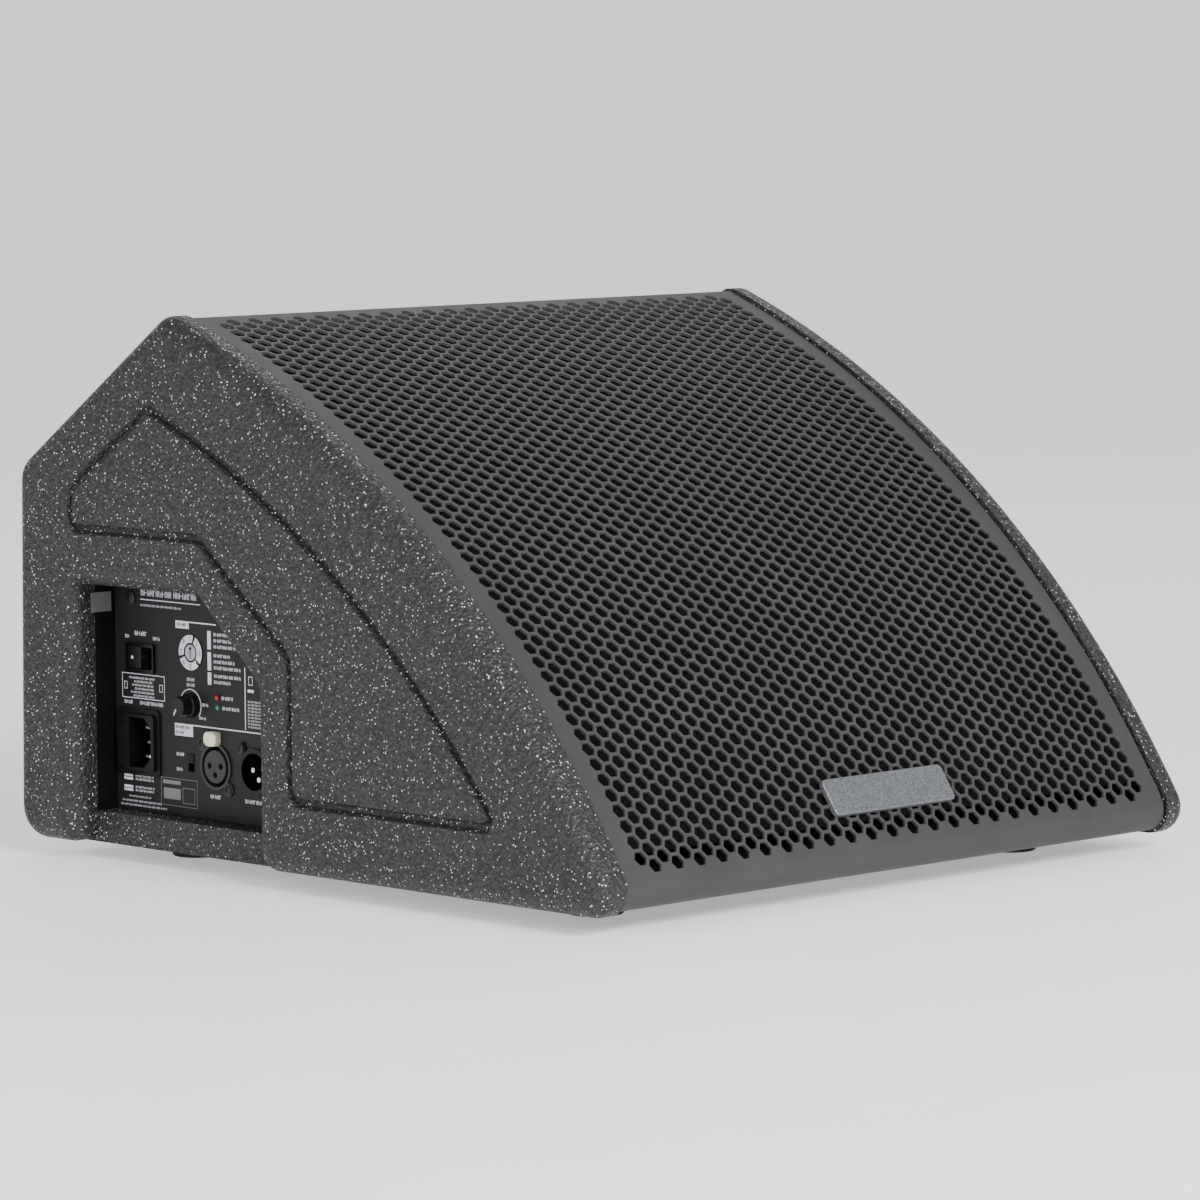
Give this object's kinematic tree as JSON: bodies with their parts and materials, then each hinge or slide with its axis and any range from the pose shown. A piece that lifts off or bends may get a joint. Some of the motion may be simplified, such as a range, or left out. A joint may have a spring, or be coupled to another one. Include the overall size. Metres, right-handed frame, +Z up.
{
  "type": "stage monitor wedge",
  "caption": "Powered coaxial stage monitor wedge: plywood cabinet with a curved perforated grille, side amplifier panel in a notch, pole cup, recessed handle and rubber feet.",
  "frame": {"origin": "on the floor under the middle of the cabinet's box", "axes": "+X to the right seen from the front, +Y to the back, +Z up; the grille faces -Y and up"},
  "size_m": [0.393, 0.4076, 0.2634],
  "materials": {
    "coated_wood": "birch plywood under a hard, finely textured black coat with grey flecks",
    "bare_wood": "birch plywood, painted black on the front",
    "black_lining": "smooth black moulding",
    "grille_steel": "satin black powder coat",
    "open_foam": "black open-cell foam",
    "badge_metal": "fine sparkle grey",
    "black_steel": "black oxide",
    "foot_rubber": "matt black rubber",
    "black_plastic": "fine moulded texture",
    "bright_steel": "bright zinc",
    "wadding": "polyester wadding",
    "cast_alloy": "black painted casting",
    "soft_gasket": "closed-cell foam",
    "surround_rubber": "half-roll",
    "cone_paper": "pressed paper",
    "coil_copper": "copper wire on a former",
    "spider_cloth": "corrugated cloth",
    "plate_steel": "zinc plated",
    "magnet_ceramic": "ground ferrite",
    "panel_paint": "charcoal powder coat with white print",
    "chassis_alloy": "folded sheet",
    "circuit_board": "green solder mask",
    "capacitor_sleeve": "shrink sleeve",
    "gloss_black": "gloss black moulding",
    "pin_brass": "nickel plated brass",
    "fuse_glass": "clear glass",
    "rotor_plastic": "light grey",
    "red_lens": "tinted lens",
    "green_lens": "tinted lens",
    "cream_plastic": "cream plastic",
    "grey_label": "vinyl",
    "wire_sleeve": "cable insulation"
  },
  "bodies": {
    "cabinet": {"left_side_board": "coated_wood", "right_side_board": "coated_wood", "base_board": "coated_wood", "back_board": "coated_wood", "slope_board": "coated_wood", "baffle_board": "bare_wood", "recess_frame": "black_lining", "grille": "grille_steel", "grille_foam": "open_foam", "grille_screws": "black_steel", "badge_plate": "badge_metal", "rubber_feet": "foot_rubber", "foot_screws": "bright_steel", "pole_cup": "black_plastic", "handle_cup": "black_plastic", "handle_bar": "black_plastic", "hardware_screws": "black_steel", "reflex_ports": "black_plastic", "damping_wadding": "wadding", "driver_basket": "cast_alloy", "driver_gasket": "soft_gasket", "driver_screws": "black_steel", "surround": "surround_rubber", "spider": "spider_cloth", "top_plate": "plate_steel", "ring_magnet": "magnet_ceramic", "back_plate": "plate_steel", "hf_horn": "black_plastic", "hf_driver": "cast_alloy", "amp_panel": "panel_paint", "amp_chassis": "chassis_alloy", "amp_board": "circuit_board", "amp_transformer": "soft_gasket", "amp_capacitors": "capacitor_sleeve", "amp_heatsink": "chassis_alloy", "panel_screws": "black_steel", "rocker_frame": "gloss_black", "mains_inlet": "black_plastic", "inlet_pins": "pin_brass", "level_pot": "chassis_alloy", "selector_body": "black_plastic", "limit_light": "red_lens", "signal_light": "green_lens", "slide_switch_body": "black_plastic", "input_connector": "black_plastic", "output_connector": "black_plastic", "output_pins": "pin_brass", "connector_screws": "black_steel", "rating_sticker": "grey_label", "speaker_wires": "wire_sleeve"},
    "rocker": {"power_rocker": "gloss_black"},
    "drawer": {"fuse_drawer": "black_plastic", "mains_fuse": "fuse_glass"},
    "level": {"level_knob": "black_plastic"},
    "selector": {"selector_rotor": "rotor_plastic"},
    "switch_lever": {"slide_switch_lever": "black_plastic"},
    "latch": {"input_latch": "cream_plastic"},
    "cone": {"woofer_cone": "cone_paper", "voice_coil": "coil_copper"}
  },
  "joints": [
    {"name": "rocker_press", "type": "hinge", "parent": "cabinet", "child": "rocker", "pos_m": [-0.168, 0.1402, 0.0976], "axis": [0, 0, 1], "range_deg": [0, 14]},
    {"name": "fuse_drawer_pull", "type": "slide", "parent": "cabinet", "child": "drawer", "axis": [-1, 0, 0], "range_m": [0, 0.023]},
    {"name": "level_turn", "type": "hinge", "parent": "cabinet", "child": "level", "pos_m": [-0.169, 0.1044, 0.0774], "axis": [-1, 0, 0], "range_deg": [-300, 0]},
    {"name": "preset_turn", "type": "hinge", "parent": "cabinet", "child": "selector", "pos_m": [-0.169, 0.1034, 0.1027], "axis": [-1, 0, 0], "range_deg": [-315, 0]},
    {"name": "line_mic_slide", "type": "slide", "parent": "cabinet", "child": "switch_lever", "axis": [0, 0, -1], "range_m": [0, 0.004]},
    {"name": "latch_push", "type": "slide", "parent": "cabinet", "child": "latch", "axis": [1, 0, 0], "range_m": [0, 0.002], "stiffness_N_per_m": 1500, "springref_m": -0.0002},
    {"name": "cone_travel", "type": "slide", "parent": "cabinet", "child": "cone", "axis": [0, -0.6293, 0.7771], "range_m": [-0.004, 0.004], "stiffness_N_per_m": 4000, "deforming": ["surround", "spider"]}
  ]
}
